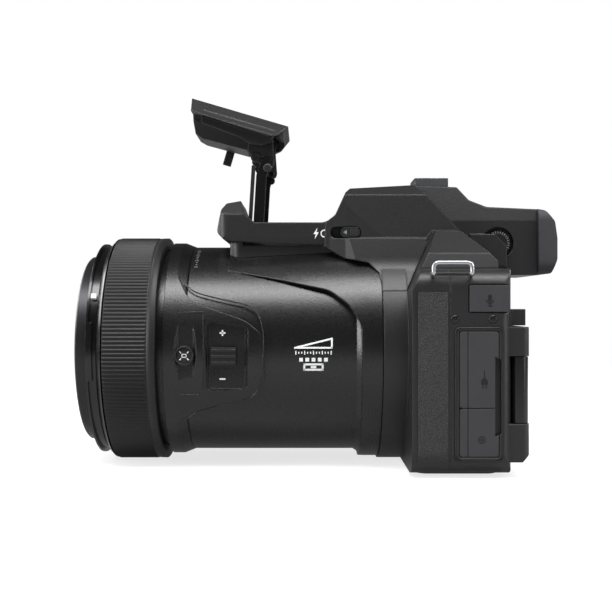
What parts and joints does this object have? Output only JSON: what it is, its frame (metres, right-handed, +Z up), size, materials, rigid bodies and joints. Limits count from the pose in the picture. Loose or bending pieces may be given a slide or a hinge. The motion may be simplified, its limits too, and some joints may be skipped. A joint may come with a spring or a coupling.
{
  "type": "bridge camera",
  "caption": "Long-zoom bridge camera with a raised pop-up flash, wide fixed lens barrel with a ribbed ring, side lens controls, a deep grip, a viewfinder and a swing-out monitor.",
  "frame": {"origin": "centre of the tripod socket's mouth, on the underside of the base plate", "axes": "+X to the camera's left, -Y along the lens towards the subject, +Z up"},
  "size_m": [0.1508, 0.2007, 0.1561],
  "materials": {
    "body_plastic": "fine textured moulded polycarbonate",
    "barrel_plastic": "fine satin moulded polycarbonate",
    "knurled_rubber": "ribbed grip rubber",
    "leatherette": "grained rubber skin",
    "cover_rubber": "smooth soft rubber",
    "gloss_plastic": "polished black plastic",
    "dial_metal": "black anodised, ribbed edge",
    "bare_metal": "satin plated steel",
    "black_metal": "black painted",
    "lens_glass": "coated optical glass",
    "screen_glass": "black screen glass",
    "lamp_window": "ribbed clear window",
    "circuit_board": "green board",
    "button_plastic": "satin moulded plastic"
  },
  "bodies": {
    "camera_body": {"front_shell": "body_plastic", "rear_cover": "body_plastic", "top_cover": "body_plastic", "shoulder_cover": "body_plastic", "base_plate": "black_metal", "tripod_socket": "bare_metal", "grip_rubber": "leatherette", "leatherette_left": "leatherette", "connector_frame": "button_plastic", "lens_housing": "barrel_plastic", "lens_control_panel": "barrel_plastic", "front_bezel": "gloss_plastic", "rear_lens_group": "black_metal", "image_sensor": "circuit_board", "main_board": "circuit_board", "viewfinder_housing": "body_plastic", "viewfinder_display": "screen_glass", "eyepiece_lens": "lens_glass", "eyecup": "cover_rubber", "hot_shoe": "bare_metal", "strap_lugs": "bare_metal", "screws": "black_metal"},
    "zoom_barrel_outer": {"zoom_tube_outer": "barrel_plastic"},
    "zoom_barrel_front": {"zoom_tube_front": "barrel_plastic", "front_rim": "black_metal", "front_element": "lens_glass"},
    "zoom_group": {"zoom_lens_group": "black_metal"},
    "lens_ring": {"control_ring": "knurled_rubber"},
    "snap_back": {"snap_back_button": "button_plastic"},
    "side_zoom_lever": {"zoom_slide_lever": "button_plastic"},
    "flash_lift": {"flash_arm": "black_metal"},
    "flash_parallel": {"flash_link": "black_metal"},
    "flash_lamp": {"flash_head": "body_plastic", "flash_window": "lamp_window"},
    "flash_release": {"flash_slider": "button_plastic"},
    "mode_dial": {"mode_dial": "dial_metal"},
    "command_dial": {"command_dial": "dial_metal"},
    "power_button": {"power_button": "button_plastic"},
    "fn_button": {"fn_button": "button_plastic"},
    "movie_button": {"movie_button": "button_plastic"},
    "shutter_button": {"shutter_button": "dial_metal"},
    "zoom_ring_lever": {"zoom_ring_lever": "dial_metal"},
    "multi_selector": {"multi_selector": "button_plastic"},
    "ok_button": {"ok_button": "button_plastic"},
    "playback_button": {"playback_button": "button_plastic"},
    "display_button": {"display_button": "button_plastic"},
    "menu_button": {"menu_button": "button_plastic"},
    "delete_button": {"delete_button": "button_plastic"},
    "focus_selector": {"focus_selector": "button_plastic"},
    "diopter_dial": {"diopter_dial": "button_plastic"},
    "monitor": {"monitor_arm": "gloss_plastic", "monitor_frame": "body_plastic", "monitor_glass": "screen_glass"},
    "mic_flap": {"mic_cover": "cover_rubber"},
    "upper_flap": {"upper_connector_cover": "cover_rubber"},
    "lower_flap": {"lower_connector_cover": "cover_rubber"},
    "battery_hatch": {"battery_door": "body_plastic"},
    "hatch_latch": {"battery_latch": "button_plastic"},
    "battery_pack": {"battery": "gloss_plastic"},
    "card": {"memory_card": "gloss_plastic"}
  },
  "joints": [
    {"name": "control_ring_turn", "type": "hinge", "parent": "camera_body", "child": "lens_ring", "pos_m": [0, -0.1302, 0.0487], "axis": [0, 1, 0], "continuous": true},
    {"name": "zoom_outer_slide", "type": "slide", "parent": "camera_body", "child": "zoom_barrel_outer", "axis": [0, -1, 0], "range_m": [0, 0.038]},
    {"name": "zoom_front_slide", "type": "slide", "parent": "zoom_barrel_outer", "child": "zoom_barrel_front", "axis": [0, -1, 0], "range_m": [0, 0.038]},
    {"name": "zoom_group_slide", "type": "slide", "parent": "zoom_barrel_outer", "child": "zoom_group", "axis": [0, -1, 0], "range_m": [0, 0.019]},
    {"name": "snap_back_press", "type": "slide", "parent": "camera_body", "child": "snap_back", "axis": [-1, 0, 0], "range_m": [0, 0.0005], "stiffness_N_per_m": 200},
    {"name": "side_zoom_lever_slide", "type": "slide", "parent": "camera_body", "child": "side_zoom_lever", "axis": [0, 0, 1], "range_m": [-0.0016, 0.0016], "stiffness_N_per_m": 200},
    {"name": "flash_lift_turn", "type": "hinge", "parent": "camera_body", "child": "flash_lift", "pos_m": [0, -0.0802, 0.097], "axis": [-1, 0, 0], "range_deg": [0, 86.6]},
    {"name": "flash_link_turn", "type": "hinge", "parent": "camera_body", "child": "flash_parallel", "pos_m": [0, -0.0839, 0.1007], "axis": [-1, 0, 0], "range_deg": [0, 86.6]},
    {"name": "flash_head_turn", "type": "hinge", "parent": "flash_lift", "child": "flash_lamp", "pos_m": [0, -0.07623, 0.12842], "axis": [-1, 0, 0], "range_deg": [-102.9, 0]},
    {"name": "flash_release_slide", "type": "slide", "parent": "camera_body", "child": "flash_release", "axis": [0, -1, 0], "range_m": [0, 0.0035], "stiffness_N_per_m": 200},
    {"name": "mode_dial_turn", "type": "hinge", "parent": "camera_body", "child": "mode_dial", "pos_m": [-0.046, 0.002, 0.086], "axis": [0, 0, 1], "continuous": true},
    {"name": "command_dial_turn", "type": "hinge", "parent": "camera_body", "child": "command_dial", "pos_m": [-0.0745, 0.0095, 0.079], "axis": [0, 0, 1], "continuous": true},
    {"name": "power_press", "type": "slide", "parent": "camera_body", "child": "power_button", "axis": [0, 0, -1], "range_m": [0, 0.0005], "stiffness_N_per_m": 200},
    {"name": "fn_press", "type": "slide", "parent": "camera_body", "child": "fn_button", "axis": [0, 0, -1], "range_m": [0, 0.0005], "stiffness_N_per_m": 200},
    {"name": "movie_press", "type": "slide", "parent": "camera_body", "child": "movie_button", "axis": [0, 0, -1], "range_m": [0, 0.0005], "stiffness_N_per_m": 200},
    {"name": "shutter_press", "type": "slide", "parent": "camera_body", "child": "shutter_button", "axis": [0, 0, -1], "range_m": [0, 0.001], "stiffness_N_per_m": 200},
    {"name": "zoom_ring_turn", "type": "hinge", "parent": "camera_body", "child": "zoom_ring_lever", "pos_m": [-0.069, -0.034, 0.084], "axis": [0, 0, 1], "range_deg": [-12, 12], "stiffness_Nm_per_rad": 0.05},
    {"name": "multi_selector_turn", "type": "hinge", "parent": "camera_body", "child": "multi_selector", "pos_m": [-0.056, 0.021, 0.038], "axis": [0, 1, 0], "continuous": true},
    {"name": "ok_press", "type": "slide", "parent": "camera_body", "child": "ok_button", "axis": [0, -1, 0], "range_m": [0, 0.0005], "stiffness_N_per_m": 200},
    {"name": "playback_press", "type": "slide", "parent": "camera_body", "child": "playback_button", "axis": [0, -1, 0], "range_m": [0, 0.0005], "stiffness_N_per_m": 200},
    {"name": "display_press", "type": "slide", "parent": "camera_body", "child": "display_button", "axis": [0, -1, 0], "range_m": [0, 0.0005], "stiffness_N_per_m": 200},
    {"name": "menu_press", "type": "slide", "parent": "camera_body", "child": "menu_button", "axis": [0, -1, 0], "range_m": [0, 0.0005], "stiffness_N_per_m": 200},
    {"name": "delete_press", "type": "slide", "parent": "camera_body", "child": "delete_button", "axis": [0, -1, 0], "range_m": [0, 0.0005], "stiffness_N_per_m": 200},
    {"name": "focus_selector_turn", "type": "hinge", "parent": "camera_body", "child": "focus_selector", "pos_m": [-0.056, 0.021, 0.062], "axis": [0, 1, 0], "range_deg": [-20, 20], "stiffness_Nm_per_rad": 0.02},
    {"name": "diopter_turn", "type": "hinge", "parent": "camera_body", "child": "diopter_dial", "pos_m": [0.0205, 0.0216, 0.094], "axis": [1, 0, 0], "continuous": true},
    {"name": "monitor_swing", "type": "hinge", "parent": "camera_body", "child": "monitor", "pos_m": [0.0544, 0.0236, 0.0345], "axis": [0, 0, -1], "range_deg": [0, 175]},
    {"name": "mic_cover_turn", "type": "hinge", "parent": "camera_body", "child": "mic_flap", "pos_m": [0.0603, 0.0033, 0.0701], "axis": [0, 0, -1], "range_deg": [0, 100]},
    {"name": "upper_cover_turn", "type": "hinge", "parent": "camera_body", "child": "upper_flap", "pos_m": [0.0603, -0.0005, 0.0422], "axis": [0, 0, -1], "range_deg": [0, 100]},
    {"name": "lower_cover_turn", "type": "hinge", "parent": "camera_body", "child": "lower_flap", "pos_m": [0.0603, -0.0005, 0.018], "axis": [0, 0, -1], "range_deg": [0, 100]},
    {"name": "battery_door_turn", "type": "hinge", "parent": "camera_body", "child": "battery_hatch", "pos_m": [-0.056, -0.024, 0.0012], "axis": [0, -1, 0], "range_deg": [0, 90]},
    {"name": "latch_slide", "type": "slide", "parent": "battery_hatch", "child": "hatch_latch", "axis": [1, 0, 0], "range_m": [0, 0.0022]},
    {"name": "battery_slide", "type": "slide", "parent": "camera_body", "child": "battery_pack", "axis": [0, 0, -1], "range_m": [0, 0.006]},
    {"name": "card_slide", "type": "slide", "parent": "camera_body", "child": "card", "axis": [0, 0, -1], "range_m": [0, 0.003]}
  ],
  "couplings": [
    {"joint": "zoom_front_slide", "follows": "zoom_outer_slide", "ratio": 1},
    {"joint": "zoom_group_slide", "follows": "zoom_outer_slide", "ratio": 0.5},
    {"joint": "flash_link_turn", "follows": "flash_lift_turn", "ratio": 1},
    {"joint": "flash_head_turn", "follows": "flash_lift_turn", "ratio": -1.1882},
    {"joint": "battery_door_turn", "follows": "battery_slide", "rad_per_m": 261.8},
    {"joint": "card_slide", "follows": "battery_slide", "ratio": 0.5}
  ]
}
